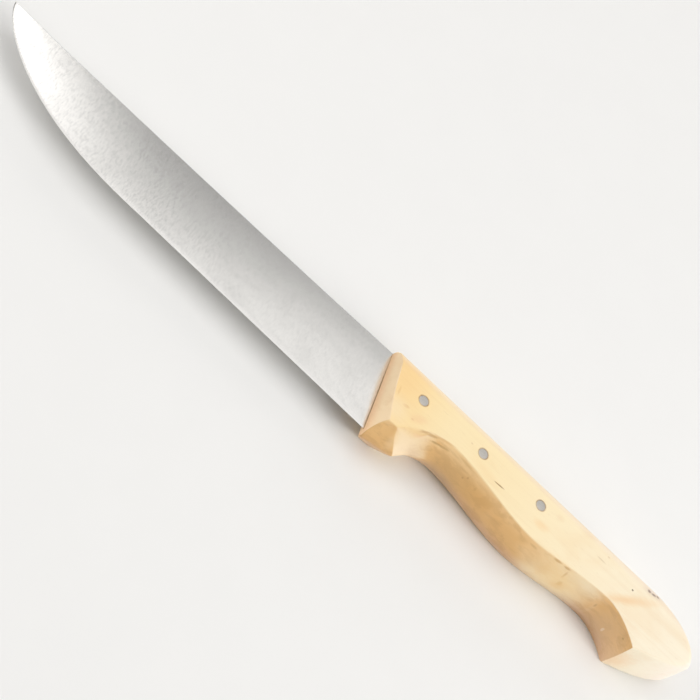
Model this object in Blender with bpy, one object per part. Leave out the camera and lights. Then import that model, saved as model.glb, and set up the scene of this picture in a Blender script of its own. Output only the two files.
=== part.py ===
"""Butcher knife: a flat-ground steel blade whose tang is riveted into a one-piece boxwood handle.

The knife lies on one flat side. +X runs from the tip to the butt, +Y from the edge to the spine,
and +Z up through the handle's thickness. In the outlines, x = 0 is the handle's front at the
spine, y = 0 is the spine, and a drop is a distance below the spine.
"""

import math

import bmesh
import bpy
from mathutils import Vector

# Gap kept between pieces that touch on the real knife
CLEARANCE = 0.0003

# Blade
BLADE_LENGTH = 0.1735  # tip to the handle's front, along the spine
BLADE_HEIGHT = 0.0324  # spine to edge at the heel
HEEL_SETBACK = 0.0066  # how far the blade's rear edge leans back at the heel
EDGE_RISE = 0.0014  # lift of the straight edge between the heel and the sweep
SWEEP_LENGTH = 0.0755  # length of the curved edge behind the tip
SPINE_DIP = 0.0013  # how far the spine falls along the blade
TIP_RISE = 0.0009  # how far the tip turns back up
TIP_RISE_LENGTH = 0.026
STOCK_THICKNESS = 0.0020  # steel at the spine, next to the handle, and the whole tang
TIP_THICKNESS = 0.0011
EDGE_THICKNESS = 0.00045  # steel just behind the sharpened bevel
EDGE_FLAT = 0.00012
SHARPENED_WIDTH = 0.0011
SWEEP_START_POWER = 2.4  # a higher power keeps the sweep straighter behind its start
SWEEP_END_POWER = 0.68  # a lower power makes the tip blunter

# Rivets, and the tang that they hold
RIVET_DIAMETER = 0.0038
RIVET_CHAMFER = 0.00015
FIRST_RIVET_X = 0.0165
FRONT_RIVET_SPACING = 0.0279
REAR_RIVET_SPACING = 0.0275
FRONT_RIVET_DROP = 0.0128
MIDDLE_RIVET_DROP = 0.0118
REAR_RIVET_DROP = 0.0110
TANG_BELOW_RIVETS = 0.0047  # steel between a rivet's axis and the tang's lower edge
TANG_BEHIND_RIVETS = 0.0160
TANG_CORNER = 0.0050

# Handle
HANDLE_LENGTH = 0.1507
HANDLE_THICKNESS = 0.0180
SPINE_ROUNDING = 0.0075
FRONT_BEVEL_TOP = 0.0016  # how far the front face falls back at the sides, at the spine
FRONT_BEVEL_FOOT = 0.0042  # and at the guard
GUARD_BELOW_HEEL = 0.0032
GUARD_SIDE_LIFT = 0.0062  # how much higher the guard's underside is at the sides
GUARD_FOOT_RISE = 0.0027  # how far the underside climbs to its rear point
GUARD_LENGTH = 0.0130  # the underside along the centre
GUARD_SIDE_LENGTH = 0.0030  # and along each side
GUARD_KEEL_POWER = 1.3  # 1 makes the underside a sharp keel, 2 a round one
SCOOP_ROUNDING = 0.0030  # softened side edges of the hollow behind the guard
SCOOP_ROUNDING_LENGTH = 0.0110
SCOOP_SIDE_POWER = 0.7  # below 1 the hollow's side edges climb sooner
GROOVE_BEHIND_GUARD = 0.0210
GROOVE_HEIGHT = 0.0183  # side face from the spine to the belly, at the finger groove
GROOVE_CROWN = 0.0049  # how far the belly's centre stands below its side edges
SWELL_PLACE = 0.55  # where the swell is fullest, between the two grooves
SWELL_HEIGHT = 0.0244
SWELL_CROWN = 0.0035
REAR_GROOVE_HEIGHT = 0.0207
REAR_GROOVE_CROWN = 0.0021
HOOK_DROP = 0.0293
HOOK_CROWN = 0.0006
HOOK_LENGTH = 0.0175  # rear groove to the hook's point
HOOK_FROM_BUTT = 0.0242
HOOK_ROUNDING = 0.0007
HOOK_FACE_LENGTH = 0.0108  # how far the face below the hook heads back before it turns up
HOOK_FACE_RISE = 0.0036
BUTT_BELOW_SPINE = 0.0158  # height of the rearmost point
BUTT_HEEL = 0.0052  # height over which the butt turns up to the rearmost point
BUTT_SHOULDER = 0.0255  # length over which the spine turns down to the rearmost point
ELLIPSE_ARM = 0.56  # control arm that makes a quarter curve round, as a share of its side

# How finely the curves are drawn
BLADE_STEPS = 34
CURVE_STEPS = 10
ROUNDING_STEPS = 8
RIVET_SIDES = 32
SHARP_ANGLE = math.radians(32)
SLOPE_STEP = 0.002  # share of the butt's outline over which its direction is measured

# Sizes that follow from those above
HALF_THICKNESS = HANDLE_THICKNESS / 2
HALF_STOCK = STOCK_THICKNESS / 2
HALF_SLOT = HALF_STOCK + CLEARANCE
EDGE_ROUNDING = min(SPINE_ROUNDING, HALF_THICKNESS - HALF_SLOT)
GUARD_DROP = BLADE_HEIGHT + GUARD_BELOW_HEEL
HOOK_X = HANDLE_LENGTH - HOOK_FROM_BUTT
RIVETS = {
    "rivet_front": (FIRST_RIVET_X, FRONT_RIVET_DROP),
    "rivet_middle": (FIRST_RIVET_X + FRONT_RIVET_SPACING, MIDDLE_RIVET_DROP),
    "rivet_rear": (
        FIRST_RIVET_X + FRONT_RIVET_SPACING + REAR_RIVET_SPACING,
        REAR_RIVET_DROP,
    ),
}
TANG_END_X = RIVETS["rivet_rear"][0] + TANG_BEHIND_RIVETS

# Centre of the knife's outline, which stands over the origin
CENTRE_X = (HANDLE_LENGTH - BLADE_LENGTH) / 2
CENTRE_Y = -GUARD_DROP / 2


def clear_scene():
    for old in list(bpy.data.objects):
        bpy.data.objects.remove(old, do_unlink=True)


def make_material(name, colour, roughness, metallic):
    material = bpy.data.materials.new(name)
    material.use_nodes = True
    shader = material.node_tree.nodes["Principled BSDF"]
    shader.inputs["Base Color"].default_value = (*colour, 1.0)
    shader.inputs["Roughness"].default_value = roughness
    shader.inputs["Metallic"].default_value = metallic
    return material


def add_object(name, bm, material=None):
    """Turns a bmesh into an object placed so that the knife stands centred over the origin."""
    bmesh.ops.recalc_face_normals(bm, faces=bm.faces)
    mesh = bpy.data.meshes.new(name)
    bm.to_mesh(mesh)
    bm.free()
    if material:
        mesh.materials.append(material)
    mesh.shade_smooth()
    mesh.set_sharp_from_angle(angle=SHARP_ANGLE)
    piece = bpy.data.objects.new(name, mesh)
    piece.location = (-CENTRE_X, -CENTRE_Y, 0)
    bpy.context.scene.collection.objects.link(piece)
    return piece


def cut(piece, cutter):
    """Subtracts the cutter from the piece with a Boolean that stays on the piece."""
    cutter.hide_render = True
    cutter.display_type = "WIRE"
    boolean = piece.modifiers.new(cutter.name, "BOOLEAN")
    boolean.operation = "DIFFERENCE"
    boolean.solver = "EXACT"
    boolean.object = cutter


def smooth_step(share):
    return share * share * (3 - 2 * share)


def between(start, end, steps, curve):
    """Points of curve(share) for shares from start up to, but not including, end."""
    return [curve(start + (end - start) * step / steps) for step in range(steps)]


def prism(bm, outline, low, high):
    """A closed outline in x and y, drawn up from z = low to z = high."""
    bottom = bm.faces.new([bm.verts.new((x, y, low)) for x, y in outline])
    side = bmesh.ops.extrude_face_region(bm, geom=[bottom])
    top = [v for v in side["geom"] if isinstance(v, bmesh.types.BMVert)]
    bmesh.ops.translate(bm, verts=top, vec=(0, 0, high - low))


# Blade and tang


def junction_x(drop):
    """The handle's front line at the blade, which leans back towards the heel."""
    return HEEL_SETBACK * drop / BLADE_HEIGHT


def tang_drop(x):
    """Lower edge of the tang, a straight line under the front and rear rivets."""
    front_x, front_drop = RIVETS["rivet_front"]
    rear_x, rear_drop = RIVETS["rivet_rear"]
    slope = (rear_drop - front_drop) / (rear_x - front_x)
    return front_drop + slope * (x - front_x) + TANG_BELOW_RIVETS


def spine_drop(share):
    """Drop of the blade's spine, from the handle (share 0) to the tip (share 1)."""
    fall = SPINE_DIP * (1 - (1 - share) ** 3)
    rise_start = 1 - TIP_RISE_LENGTH / BLADE_LENGTH
    rise = max(0.0, (share - rise_start) / (1 - rise_start))
    return fall - TIP_RISE * rise**2


def edge_drop(x):
    """Drop of the cutting edge: a straight run from the heel, then a sweep up to the tip."""
    heel_x = junction_x(BLADE_HEIGHT) - CLEARANCE
    sweep_x = SWEEP_LENGTH - BLADE_LENGTH
    sweep_drop = BLADE_HEIGHT - EDGE_RISE
    if x > sweep_x:
        return BLADE_HEIGHT - EDGE_RISE * (heel_x - x) / (heel_x - sweep_x)
    share = min(1.0, (sweep_x - x) / SWEEP_LENGTH)
    lift = 1 - (1 - share**SWEEP_START_POWER) ** SWEEP_END_POWER
    return sweep_drop + (spine_drop(1) - sweep_drop) * lift


def blade_section(share):
    """Rows of one station as (x, y, half thickness): spine, tang row, bevel, edge."""
    heel_x = junction_x(BLADE_HEIGHT) - CLEARANCE
    spine_x = -CLEARANCE + share * (CLEARANCE - BLADE_LENGTH)
    edge_x = heel_x + share * (-BLADE_LENGTH - heel_x)
    spine = Vector((spine_x, -spine_drop(share)))
    edge = Vector((edge_x, -edge_drop(edge_x)))
    height = (spine - edge).length
    half_spine = (STOCK_THICKNESS + share * (TIP_THICKNESS - STOCK_THICKNESS)) / 2
    half_edge = EDGE_THICKNESS / 2
    tang_row = tang_drop(0) / BLADE_HEIGHT
    bevel_row = 1 - min(SHARPENED_WIDTH / height, (1 - tang_row) / 2)
    rows = []
    for row in (0, tang_row, bevel_row):
        half = half_spine + (half_edge - half_spine) * row / bevel_row
        rows.append((*spine.lerp(edge, row), half))
    rows.append((*edge, EDGE_FLAT / 2))
    return rows


def tang_outline():
    """The tang behind the blade, from its top front corner round to its lower front corner."""
    end_drop = tang_drop(TANG_END_X)
    corner = min(TANG_CORNER, end_drop / 2)
    centre = Vector((TANG_END_X - corner, -end_drop + corner))
    arc = [
        centre + corner * Vector((math.cos(turn), -math.sin(turn)))
        for turn in between(0, math.pi / 2, CURVE_STEPS // 2, float)
    ]
    return [Vector((TANG_END_X, 0)), *arc, centre - Vector((0, corner))]


def make_blade(steel):
    bm = bmesh.new()
    loops = []
    for step in range(BLADE_STEPS):
        rows = blade_section(1 - (1 - step / BLADE_STEPS) ** 2)
        upper = [bm.verts.new((x, y, HALF_THICKNESS + half)) for x, y, half in rows]
        lower = [bm.verts.new((x, y, HALF_THICKNESS - half)) for x, y, half in rows]
        loops.append(upper + lower[::-1])
    for rear, front in zip(loops, loops[1:]):
        for i in range(len(rear)):
            j = (i + 1) % len(rear)
            bm.faces.new((rear[i], rear[j], front[j], front[i]))
    tip = bm.verts.new((-BLADE_LENGTH, -spine_drop(1), HALF_THICKNESS))
    for i, corner in enumerate(loops[-1]):
        bm.faces.new((corner, loops[-1][(i + 1) % len(loops[-1])], tip))

    # The tang keeps the full stock thickness, so it steps out of the ground blade at its root
    top_up, row_up, bevel_up, edge_up, edge_low, bevel_low, row_low, top_low = loops[0]
    root = row_up.co
    root_up = bm.verts.new((root.x, root.y, HALF_THICKNESS + HALF_STOCK))
    root_low = bm.verts.new((root.x, root.y, HALF_THICKNESS - HALF_STOCK))
    bm.faces.new((row_up, bevel_up, edge_up, edge_low, bevel_low, row_low))
    bm.faces.new((top_up, root_up, row_up))
    bm.faces.new((top_low, row_low, root_low))
    outline = tang_outline()
    upper = [bm.verts.new((x, y, HALF_THICKNESS + HALF_STOCK)) for x, y in outline]
    lower = [bm.verts.new((x, y, HALF_THICKNESS - HALF_STOCK)) for x, y in outline]
    bm.faces.new((top_up, *upper, root_up))
    bm.faces.new((top_low, *lower, root_low))
    bm.faces.new((top_up, top_low, lower[0], upper[0]))
    for i in range(len(outline) - 1):
        bm.faces.new((upper[i], lower[i], lower[i + 1], upper[i + 1]))
    bm.faces.new((upper[-1], lower[-1], root_low, row_low, row_up, root_up))
    return add_object("blade", bm, steel)


# Handle


def crown(across):
    """0 at the centre plane and 1 at the sides, along a parabola."""
    return (across / HALF_THICKNESS) ** 2


def keel(across):
    """0 at the centre plane and 1 at the sides, along a blunt wedge."""
    return abs(across / HALF_THICKNESS) ** GUARD_KEEL_POWER


def rounded(across, radius):
    """How far a rounded edge has fallen in, at a distance across from the centre plane."""
    past = max(0.0, abs(across) - (HALF_THICKNESS - radius))
    return radius - math.sqrt(max(0.0, radius**2 - past**2))


def front_point(share, across):
    """The front face, from the spine (share 0) to the guard's foot (share 1)."""
    top_drop = rounded(across, EDGE_ROUNDING)
    foot_drop = GUARD_DROP - GUARD_SIDE_LIFT * keel(across)
    drop = top_drop + (foot_drop - top_drop) * share
    bevel = FRONT_BEVEL_TOP + (FRONT_BEVEL_FOOT - FRONT_BEVEL_TOP) * share**2
    return Vector((junction_x(drop) + bevel * crown(across), -drop))


def guard_point(share, across):
    """The guard's almond-shaped underside, from its front point to its rear point."""
    start = front_point(1, across)
    length = GUARD_LENGTH + (GUARD_SIDE_LENGTH - GUARD_LENGTH) * keel(across)
    rise = GUARD_FOOT_RISE * (1 - keel(across))
    return start + share * Vector((length, rise))


def scoop_point(share, across):
    """The hollow behind the guard, up to the finger groove."""
    start = guard_point(1, across)
    side_x = guard_point(1, HALF_THICKNESS).x
    groove_x = side_x + GROOVE_BEHIND_GUARD
    groove_y = -GROOVE_HEIGHT - GROOVE_CROWN * (1 - crown(across))
    centre_rise = 1 - (1 - share) ** 2
    side_rise = smooth_step(share) ** SCOOP_SIDE_POWER
    rise = centre_rise + (side_rise - centre_rise) * crown(across)
    along = min(1.0, share * GROOVE_BEHIND_GUARD / SCOOP_ROUNDING_LENGTH)
    softened = rounded(across, SCOOP_ROUNDING * 4 * along * (1 - along))
    x = start.x + (groove_x - start.x) * share
    return Vector((x, start.y + (groove_y - start.y) * rise + softened))


def belly_point(start, end, share, across):
    """A flowing stretch between two level spots given as (x, side height, crown)."""
    eased = smooth_step(share)
    height = start[1] + (end[1] - start[1]) * eased
    bulge = start[2] + (end[2] - start[2]) * eased
    x = start[0] + (end[0] - start[0]) * share
    return Vector((x, -height - bulge * (1 - crown(across))))


def hook_point(share, across):
    """The belly's last stretch, which curls down to the hook's point."""
    height = REAR_GROOVE_HEIGHT + (HOOK_DROP - REAR_GROOVE_HEIGHT) * share**2
    bulge = REAR_GROOVE_CROWN + (HOOK_CROWN - REAR_GROOVE_CROWN) * share
    x = HOOK_X - HOOK_LENGTH * (1 - share)
    return Vector((x, -height - bulge * (1 - crown(across))))


def bezier(a, b, c, d, share):
    back = 1 - share
    return (
        a * back**3
        + b * 3 * back**2 * share
        + c * 3 * back * share**2
        + d * share**3
    )


def butt_centre(share):
    """The butt's outline on the centre plane, from the hook (0) to the spine (1)."""
    hook = Vector((HOOK_X, -HOOK_DROP - HOOK_CROWN))
    rear = Vector((HANDLE_LENGTH, -BUTT_BELOW_SPINE))
    shoulder = Vector((HANDLE_LENGTH - BUTT_SHOULDER, 0))
    if share < 0.5:
        face = Vector((HOOK_FACE_LENGTH, HOOK_FACE_RISE))
        heel = Vector((0, BUTT_HEEL))
        return bezier(hook, hook + face, rear - heel, rear, share * 2)
    rise = Vector((0, BUTT_BELOW_SPINE * ELLIPSE_ARM))
    run = Vector((BUTT_SHOULDER * ELLIPSE_ARM, 0))
    return bezier(rear, rear + rise, shoulder + run, shoulder, share * 2 - 1)


def butt_point(share, across):
    """The butt, whose edges grow rounder from the hook to the spine."""
    ahead = butt_centre(min(1.0, share + SLOPE_STEP))
    behind = butt_centre(max(0.0, share - SLOPE_STEP))
    along = (ahead - behind).normalized()
    inward = Vector((-along.y, along.x))
    radius = HOOK_ROUNDING + (EDGE_ROUNDING - HOOK_ROUNDING) * smooth_step(share)
    lift = Vector((0, HOOK_CROWN * crown(across) * (1 - share)))
    return butt_centre(share) + lift + inward * rounded(across, radius)


def spine_point(share, across):
    """The straight spine, from the butt's shoulder back to the front face."""
    start = butt_point(1, across)
    return start.lerp(front_point(0, across), share)


def handle_loop(across):
    """One closed outline of the handle, at a distance across from its centre plane."""
    groove_x = guard_point(1, HALF_THICKNESS).x + GROOVE_BEHIND_GUARD
    rear_x = HOOK_X - HOOK_LENGTH
    swell_x = groove_x + (rear_x - groove_x) * SWELL_PLACE
    groove = (groove_x, GROOVE_HEIGHT, GROOVE_CROWN)
    swell = (swell_x, SWELL_HEIGHT, SWELL_CROWN)
    rear = (rear_x, REAR_GROOVE_HEIGHT, REAR_GROOVE_CROWN)
    stretches = (
        (CURVE_STEPS, lambda share: front_point(share, across)),
        (CURVE_STEPS // 2, lambda share: guard_point(share, across)),
        (CURVE_STEPS, lambda share: scoop_point(share, across)),
        (CURVE_STEPS, lambda share: belly_point(groove, swell, share, across)),
        (CURVE_STEPS, lambda share: belly_point(swell, rear, share, across)),
        (CURVE_STEPS, lambda share: hook_point(share, across)),
        (2 * CURVE_STEPS, lambda share: butt_point(share, across)),
        (CURVE_STEPS // 2, lambda share: spine_point(share, across)),
    )
    return [
        point for steps, curve in stretches for point in between(0, 1, steps, curve)
    ]


def handle_layers():
    """Distances from the centre plane, closer together towards the rounded sides."""
    turns = [math.pi / 2 * step / ROUNDING_STEPS for step in range(1, ROUNDING_STEPS + 1)]
    flat = HALF_THICKNESS - EDGE_ROUNDING
    one_side = [flat, *[flat + EDGE_ROUNDING * math.sin(turn) for turn in turns]]
    return [*[-across for across in reversed(one_side)], 0.0, *one_side]


def make_handle(wood):
    bm = bmesh.new()
    loops = []
    for across in handle_layers():
        points = handle_loop(across)
        loops.append([bm.verts.new((x, y, HALF_THICKNESS + across)) for x, y in points])
    for low, high in zip(loops, loops[1:]):
        for i in range(len(low)):
            j = (i + 1) % len(low)
            bm.faces.new((low[i], low[j], high[j], high[i]))
    sides = [bm.faces.new(loops[0][::-1]), bm.faces.new(loops[-1])]
    bmesh.ops.triangulate(bm, faces=sides)
    return add_object("handle", bm, wood)


def make_slot_cutter():
    """The saw cut for the tang, open at the front and along the spine."""
    open_by = HANDLE_THICKNESS
    outline = [(-open_by, open_by), (-open_by, -tang_drop(-open_by) - CLEARANCE)]
    end_x = TANG_END_X + CLEARANCE
    corner = min(TANG_CORNER, tang_drop(TANG_END_X) / 2) + CLEARANCE
    centre = (end_x - corner, -tang_drop(TANG_END_X) - CLEARANCE + corner)
    for step in range(CURVE_STEPS // 2 + 1):
        turn = math.pi / 2 * step / (CURVE_STEPS // 2)
        outline.append(
            (
                centre[0] + corner * math.sin(turn),
                centre[1] - corner * math.cos(turn),
            )
        )
    outline.append((end_x, open_by))
    bm = bmesh.new()
    prism(bm, outline, HALF_THICKNESS - HALF_SLOT, HALF_THICKNESS + HALF_SLOT)
    return add_object("slot_cutter", bm)


# Rivets


def cylinder(bm, x, drop, radius, low, high):
    depth = high - low
    made = bmesh.ops.create_cone(
        bm,
        cap_ends=True,
        segments=RIVET_SIDES,
        radius1=radius,
        radius2=radius,
        depth=depth,
    )
    bmesh.ops.translate(bm, verts=made["verts"], vec=(x, -drop, low + depth / 2))


def make_rivet(name, aluminium):
    x, drop = RIVETS[name]
    bm = bmesh.new()
    cylinder(bm, x, drop, RIVET_DIAMETER / 2, 0, HANDLE_THICKNESS)
    rims = [edge for edge in bm.edges if edge.verts[0].co.z == edge.verts[1].co.z]
    bmesh.ops.bevel(
        bm, geom=rims, offset=RIVET_CHAMFER, segments=1, affect="EDGES", profile=0.5
    )
    return add_object(name, bm, aluminium)


def make_rivet_cutter(name):
    x, drop = RIVETS[name]
    bm = bmesh.new()
    past = HANDLE_THICKNESS / 2
    radius = RIVET_DIAMETER / 2 + CLEARANCE
    cylinder(bm, x, drop, radius, -past, HANDLE_THICKNESS + past)
    return add_object(f"{name}_cutter", bm)


def main():
    clear_scene()
    steel = make_material("steel", (0.60, 0.60, 0.59), 0.34, 1.0)
    wood = make_material("boxwood", (0.88, 0.68, 0.41), 0.52, 0.0)
    aluminium = make_material("aluminium", (0.60, 0.57, 0.55), 0.40, 1.0)

    blade = make_blade(steel)
    handle = make_handle(wood)
    cut(handle, make_slot_cutter())
    for name in RIVETS:
        make_rivet(name, aluminium)
        hole = make_rivet_cutter(name)
        cut(blade, hole)
        cut(handle, hole)


main()
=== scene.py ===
import math

import bmesh
import bpy
from mathutils import Matrix, Quaternion, Vector, noise


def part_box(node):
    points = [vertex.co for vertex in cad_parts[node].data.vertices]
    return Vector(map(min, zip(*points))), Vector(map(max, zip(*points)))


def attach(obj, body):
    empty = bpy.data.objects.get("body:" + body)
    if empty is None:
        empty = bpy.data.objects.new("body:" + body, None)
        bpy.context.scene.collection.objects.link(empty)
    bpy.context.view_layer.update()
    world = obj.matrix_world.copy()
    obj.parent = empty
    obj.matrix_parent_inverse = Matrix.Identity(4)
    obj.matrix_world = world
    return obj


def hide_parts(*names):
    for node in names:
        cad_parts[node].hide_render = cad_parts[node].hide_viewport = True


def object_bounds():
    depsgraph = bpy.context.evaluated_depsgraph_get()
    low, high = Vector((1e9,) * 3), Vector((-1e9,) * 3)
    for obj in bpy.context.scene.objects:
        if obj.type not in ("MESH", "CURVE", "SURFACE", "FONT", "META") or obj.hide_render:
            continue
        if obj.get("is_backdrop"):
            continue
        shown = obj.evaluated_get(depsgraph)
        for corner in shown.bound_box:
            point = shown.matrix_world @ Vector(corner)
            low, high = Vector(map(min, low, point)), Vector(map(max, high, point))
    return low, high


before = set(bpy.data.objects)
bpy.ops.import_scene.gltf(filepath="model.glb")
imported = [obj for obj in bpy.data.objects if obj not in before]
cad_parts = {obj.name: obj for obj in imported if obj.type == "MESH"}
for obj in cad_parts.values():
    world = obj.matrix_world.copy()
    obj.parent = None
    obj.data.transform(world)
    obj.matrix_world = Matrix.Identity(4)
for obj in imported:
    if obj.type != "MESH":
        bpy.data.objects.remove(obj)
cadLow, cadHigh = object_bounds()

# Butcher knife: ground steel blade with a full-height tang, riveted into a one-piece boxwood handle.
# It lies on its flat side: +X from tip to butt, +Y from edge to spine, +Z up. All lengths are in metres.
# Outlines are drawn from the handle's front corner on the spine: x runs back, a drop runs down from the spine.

mm = 0.001

handleLow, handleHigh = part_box("handle")
bladeLow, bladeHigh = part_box("blade")
frontX, spineY = handleLow.x, handleHigh.y
midZ = (handleLow.z + handleHigh.z) / 2
half = (handleHigh.z - handleLow.z) / 2  # half the handle's thickness
handleLength = handleHigh.x - handleLow.x
guardDrop = handleHigh.y - handleLow.y
bladeLength = frontX - bladeLow.x
bladeHeight = bladeHigh.y - bladeLow.y
halfStock = (bladeHigh.z - bladeLow.z) / 2
tangEnd = bladeHigh.x - frontX

rivets = {}
for name in ("rivet_front", "rivet_middle", "rivet_rear"):
    low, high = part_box(name)
    rivets[name] = {
        "x": (low.x + high.x) / 2 - frontX,
        "drop": spineY - (low.y + high.y) / 2,
        "radius": (high.x - low.x) / 2,
        "low": low.z,
        "high": high.z,
    }


def smoothStep(share):
    return share * share * (3 - 2 * share)


def lerp(a, b, share):
    return a + (b - a) * share


crowding = 0.75  # how much closer together the points come near a corner


def slowEnds(share):
    return lerp(share, 0.5 - 0.5 * math.cos(math.pi * share), crowding)


def slowStart(share):
    return lerp(share, 1 - math.cos(math.pi / 2 * share), crowding)


def slowEnd(share):
    return lerp(share, math.sin(math.pi / 2 * share), crowding)


def even(share):
    return share


def quarterTurn(steps):  # angles from 0 to a right angle
    return [math.pi / 2 * step / steps for step in range(steps + 1)]


def scaled(values):  # from millimetres
    return tuple(value * mm for value in values)


def place(x, y, z):  # outline point to the shared frame
    return Vector((frontX + x, spineY + y, z))


creaseAngle = 30  # edges sharper than this, in degrees, stay sharp in the shading


def addObject(name, data):
    made = bpy.data.objects.new(name, data)
    bpy.context.scene.collection.objects.link(made)
    return made


def shadeMesh(mesh, angle):
    mesh.shade_smooth()
    mesh.set_sharp_from_angle(angle=math.radians(angle))


def addPiece(name, bm, materials, angle=creaseAngle):
    bmesh.ops.recalc_face_normals(bm, faces=bm.faces)
    mesh = bpy.data.meshes.new(name)
    bm.to_mesh(mesh)
    bm.free()
    for material in materials:
        mesh.materials.append(material)
    shadeMesh(mesh, angle)
    return addObject(name, mesh)


def carve(piece, bm, materials=(), operation="DIFFERENCE", angle=creaseAngle):  # exact Boolean
    cutter = addPiece("cutter", bm, materials)
    boolean = piece.modifiers.new("carve", "BOOLEAN")
    boolean.operation = operation
    boolean.solver = "EXACT"
    boolean.object = cutter
    depsgraph = bpy.context.evaluated_depsgraph_get()
    mesh = bpy.data.meshes.new_from_object(piece.evaluated_get(depsgraph))
    old = piece.data
    piece.modifiers.clear()
    piece.data = mesh
    mesh.name = old.name
    bpy.data.meshes.remove(old)
    bpy.data.objects.remove(cutter, do_unlink=True)
    shadeMesh(mesh, angle)


def shifted(ring):
    return ring[1:] + ring[:1]


def bridge(bm, ring, further):  # faces between two closed rings of points
    return [bm.faces.new(corners) for corners in zip(ring, shifted(ring), shifted(further), further)]


def bridgeAll(bm, rings):
    for ring, further in zip(rings, rings[1:]):
        bridge(bm, ring, further)


def fan(bm, ring, middle):  # faces between a closed ring and one point
    for corner, after in zip(ring, shifted(ring)):
        bm.faces.new((corner, after, middle))


# Node helpers: a new node joins the material of the nodes that feed it

def feed(made, inputs):  # an input gets a constant, a colour or a node's output
    for key, value in inputs.items():
        socket = made.inputs[key]
        if isinstance(value, bpy.types.NodeSocket):
            made.id_data.links.new(value, socket)
        elif socket.type == "RGBA":
            socket.default_value = (*value, 1.0)
        else:
            socket.default_value = value


def node(kind, inputs, beside=None, **settings):
    feeding = [value for value in inputs.values() if isinstance(value, bpy.types.NodeSocket)]
    made = (beside or feeding[0]).id_data.nodes.new("ShaderNode" + kind)
    for name, value in settings.items():
        setattr(made, name, value)
    feed(made, inputs)
    return made


def source(beside, kind):  # outputs of a node that nothing feeds
    return node(kind, {}, beside).outputs


def stretch(vector, scale, turn=(0, 0, 0), shift=(0, 0, 0)):
    return node("Mapping", {"Vector": vector, "Location": shift, "Rotation": turn, "Scale": scale}).outputs[0]


def noiseAt(where, scale, detail, rough=0.5, turn=0.0, distortion=0.0):
    # noise that is drawn out by a scale for each axis, after a turn about Z
    return node("TexNoise", {"Vector": stretch(where, scale, (0, 0, turn)), "Scale": 1.0, "Detail": detail,
                             "Roughness": rough, "Distortion": distortion}).outputs["Fac"]


def ramp(value, low, high, toLow=0.0, toHigh=1.0):
    return node("MapRange", {"Value": value, "From Min": low, "From Max": high, "To Min": toLow, "To Max": toHigh},
                interpolation_type="SMOOTHSTEP").outputs["Result"]


def maths(operation, a, b=0.0, c=0.0):
    return node("Math", {0: a, 1: b, 2: c}, operation=operation).outputs[0]


def times(a, b):
    return maths("MULTIPLY", a, b)


def vectorMaths(operation, a, b=(0, 0, 0)):
    made = node("VectorMath", {0: a, 1: b}, operation=operation)
    return made.outputs["Value" if operation == "LENGTH" else "Vector"]


def axes(vector):
    return node("SeparateXYZ", {0: vector}).outputs


def paint(share, base, over, strength=None):
    if strength is not None:
        share = times(share, strength)
    return node("Mix", {0: share, 6: base, 7: over}, data_type="RGBA").outputs[2]


spotRim = 1.5  # a spot's edge: a reach of 1, and the mean of the noise that roughens it


def spot(where, ragged, centre, size, soft, turn=0):
    # 1 inside a small ellipsoid given in millimetres, 0 outside; ragged roughens its rim and soft blurs it
    offset = vectorMaths("SUBTRACT", where, scaled(centre))
    turned = stretch(offset, (1, 1, 1), (0, 0, -math.radians(turn)))
    reach = vectorMaths("LENGTH", vectorMaths("DIVIDE", turned, scaled(size)))
    return ramp(maths("ADD", reach, ragged), spotRim - soft, spotRim + soft, 1.0, 0.0)


def newMaterial(name):
    material = bpy.data.materials.new(name)
    material.use_nodes = True
    shader = material.node_tree.nodes["Principled BSDF"]
    return material, shader, source(shader, "TexCoord")["Object"]


def surface(shader, look, colour, roughness, height, **inputs):  # how each material ends, with a fine relief
    relief = node("Bump", {"Strength": look["bump"], "Distance": look["bumpHeight"], "Height": height})
    feed(shader, {"Base Color": colour, "Roughness": roughness, "Normal": relief.outputs[0], **inputs})


# Boxwood

woodLook = {
    "frontColour": (0.98, 0.732, 0.372),  # side face next to the guard
    "gripColour": (0.985, 0.816, 0.502),
    "buttColour": (0.985, 0.897, 0.718),  # paler towards the butt
    "undersideShadeColour": (0.815, 0.5, 0.212),  # painted shade on the underside, which faces away from the light
    "lowerShadeColour": (0.74, 0.48, 0.31),  # painted shade on its lower half, which faces down, a little pinker
    "scoopLitColour": (0.975, 0.79, 0.56),  # painted light on faces that turn towards the butt, behind the guard
    "buttLitColour": (0.985, 0.89, 0.79),  # and at the butt
    "spineLitColour": (0.975, 0.8, 0.64),  # painted pinkish light on the rounded spine
    "endColour": (0.995, 0.775, 0.515),  # pinkish end grain on the front face
    "endCoreShadeColour": (0.99, 0.655, 0.4),  # painted shade, deeper next to the blade
    "end": 0.9,
    # layers over the plain wood, each with its strength
    "ring": ((0.78, 0.52, 0.26), 0.07),
    "streak": ((0.7, 0.44, 0.19), 0.1),
    "blotch": ((0.86, 0.55, 0.24), 0.2),
    "worn": ((0.62, 0.36, 0.15), 0.45),
    "fleck": ((0.55, 0.33, 0.14), 0.14),
    "rimShadeColour": (0.42, 0.24, 0.12),
    "rim": (1.05, 1.32, 1.3),  # painted shade round a drilled hole: where it fades, in rivet radii, and its strength
    "roughness": 0.41,
    "fibreRoughness": 0.22,
    "fibreHeight": 0.7,
    "fleckHeight": -0.8,
    "specular": 0.35,
    "bump": 0.25,
    "bumpHeight": 0.06 * mm,
}

# Noise: scale along each axis, detail, roughness, turn about Z, distortion
woodNoise = {
    "wander": ((14, 60, 60), 2),
    "fibres": ((26, 620, 620), 4, 0.62),
    "flecks": ((230, 2600, 2600), 2),
    "mottle": ((34, 75, 75), 3, 0.55, 0, 0.6),
    "worn": ((120, 260, 260), 4, 0.62, 0.15, 0.5),
    "ragged": ((320, 1100, 1100), 3, 0.6),
}

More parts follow.
